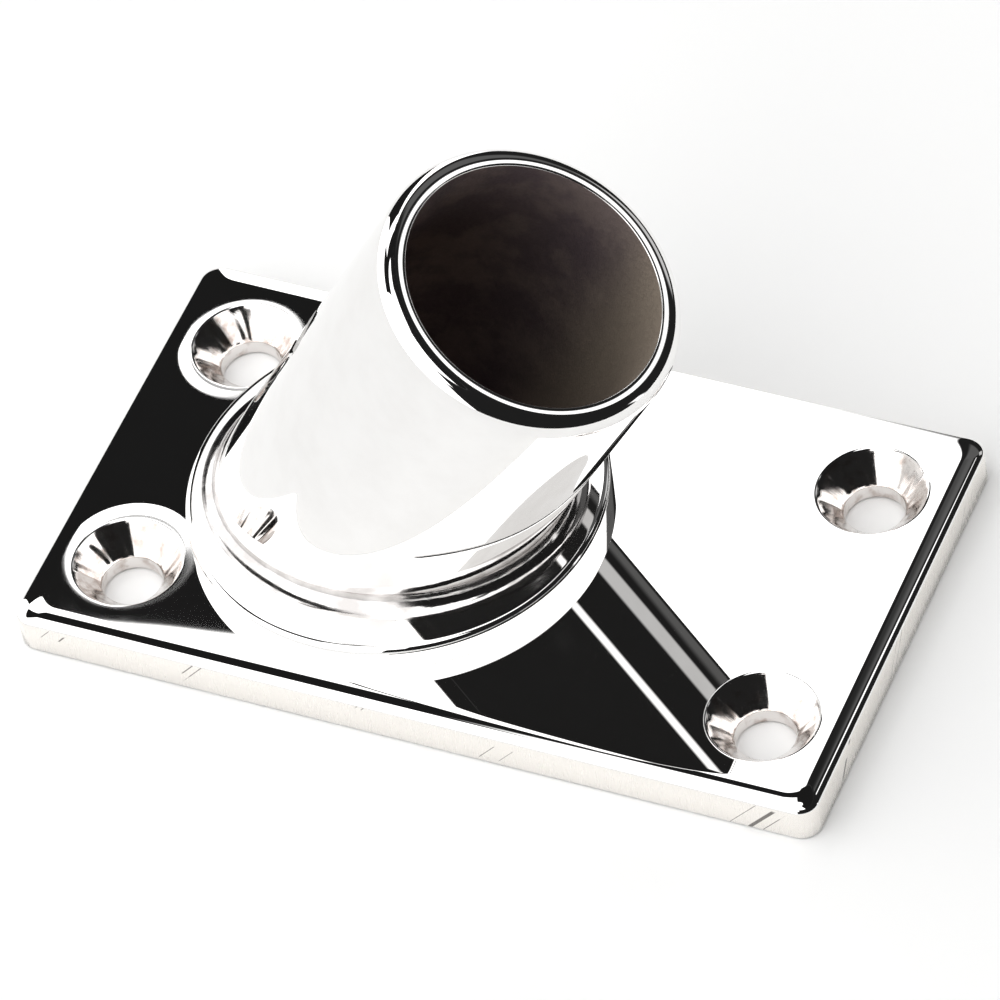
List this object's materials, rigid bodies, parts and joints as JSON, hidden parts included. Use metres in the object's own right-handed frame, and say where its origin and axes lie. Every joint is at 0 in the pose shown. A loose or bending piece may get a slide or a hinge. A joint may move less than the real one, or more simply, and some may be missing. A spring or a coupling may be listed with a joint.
{
  "type": "stanchion base",
  "caption": "Polished deck fitting for a boat rail: a round socket leaning at 60 degrees on a rectangular plate with countersunk holes, with a set screw to lock the rail.",
  "frame": {"origin": "centre of the plate's flat underside", "axes": "+Z away from the deck, +X along the plate's long side, the way the socket leans"},
  "size_m": [0.0734, 0.0424, 0.0435],
  "materials": {
    "polished_plate": "mirror polished",
    "polished_flange": "mirror polished",
    "polished_fillet": "mirror polished",
    "polished_tube": "mirror polished outside, dull inside",
    "screw_steel": "plain turned steel"
  },
  "bodies": {
    "base": {"base_plate": "polished_plate", "foot_flange": "polished_flange", "weld_fillet": "polished_fillet", "socket_tube": "polished_tube"},
    "set_screw": {"set_screw": "screw_steel"}
  },
  "joints": [
    {"name": "set_screw_feed", "type": "slide", "parent": "base", "child": "set_screw", "axis": [-0.866, 0, 0.5], "range_m": [-0.001, 0.001]}
  ]
}
